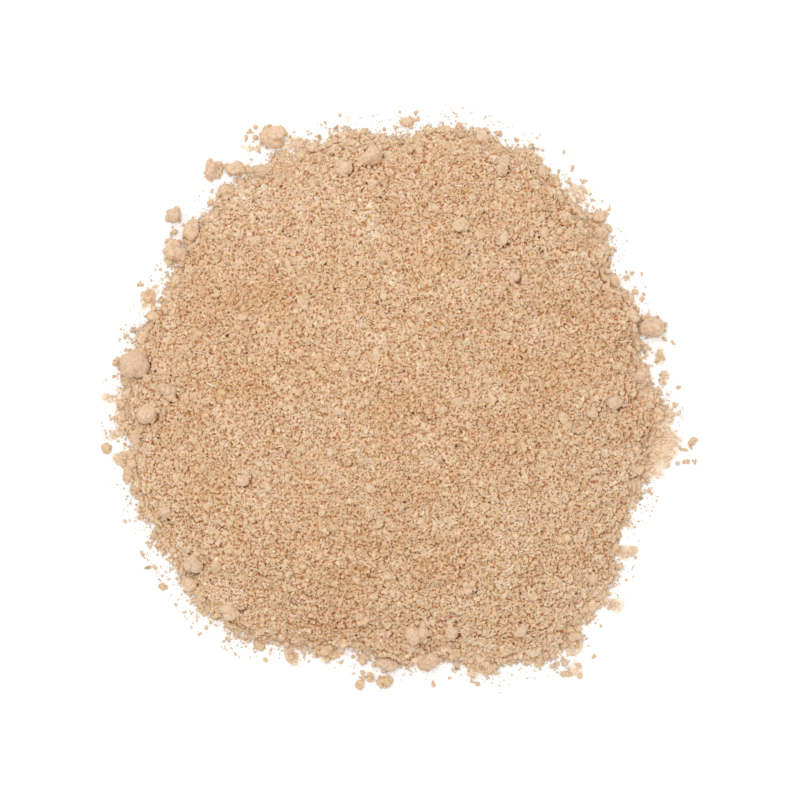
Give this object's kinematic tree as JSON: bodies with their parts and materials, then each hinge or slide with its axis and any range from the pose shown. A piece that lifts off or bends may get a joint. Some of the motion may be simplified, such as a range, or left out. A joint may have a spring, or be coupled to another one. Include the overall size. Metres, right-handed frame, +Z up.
{
  "type": "heap of ground ginger root",
  "caption": "Low, round-topped heap of tan ground ginger root with a ragged rim, small caked lumps on top and round the edge, and loose crumbs beside it.",
  "frame": {"origin": "on the table, at the middle of the whole heap's box, loose crumbs included", "axes": "+Z up out of the table; +Y is the far side of the heap and +X its right side, as seen from above"},
  "size_m": [0.0832, 0.0798, 0.0106],
  "materials": {
    "powder": "matt dry powder",
    "caked_powder": "matt caked powder",
    "loose_crumb": "matt crumb"
  },
  "bodies": {
    "root": {"loose_crumb_01": "loose_crumb", "loose_crumb_02": "loose_crumb", "loose_crumb_03": "loose_crumb", "loose_crumb_04": "loose_crumb", "loose_crumb_05": "loose_crumb", "loose_crumb_06": "loose_crumb", "loose_crumb_07": "loose_crumb", "loose_crumb_08": "loose_crumb", "powder_mound": "powder", "rim_lump_01": "caked_powder", "rim_lump_02": "caked_powder", "rim_lump_03": "caked_powder", "rim_lump_04": "caked_powder", "rim_lump_05": "caked_powder", "rim_lump_06": "caked_powder", "rim_lump_07": "caked_powder", "rim_lump_08": "caked_powder", "rim_lump_09": "caked_powder", "rim_lump_10": "caked_powder", "rim_lump_11": "caked_powder", "rim_lump_12": "caked_powder", "rim_lump_13": "caked_powder", "rim_lump_14": "caked_powder", "rim_lump_15": "caked_powder", "rim_lump_16": "caked_powder", "rim_lump_17": "caked_powder", "rim_lump_18": "caked_powder", "rim_lump_19": "caked_powder", "rim_lump_20": "caked_powder", "rim_lump_21": "caked_powder", "rim_lump_22": "caked_powder", "rim_lump_23": "caked_powder", "rim_lump_24": "caked_powder", "rim_lump_25": "caked_powder", "rim_lump_26": "caked_powder", "rim_lump_27": "caked_powder", "top_lump_01": "caked_powder", "top_lump_02": "caked_powder", "top_lump_03": "caked_powder", "top_lump_04": "caked_powder", "top_lump_05": "caked_powder", "top_lump_06": "caked_powder", "top_lump_07": "caked_powder", "top_lump_08": "caked_powder", "top_lump_09": "caked_powder", "top_lump_10": "caked_powder", "top_lump_11": "caked_powder", "top_lump_12": "caked_powder", "top_lump_13": "caked_powder", "top_lump_14": "caked_powder", "top_lump_15": "caked_powder"}
  },
  "joints": []
}
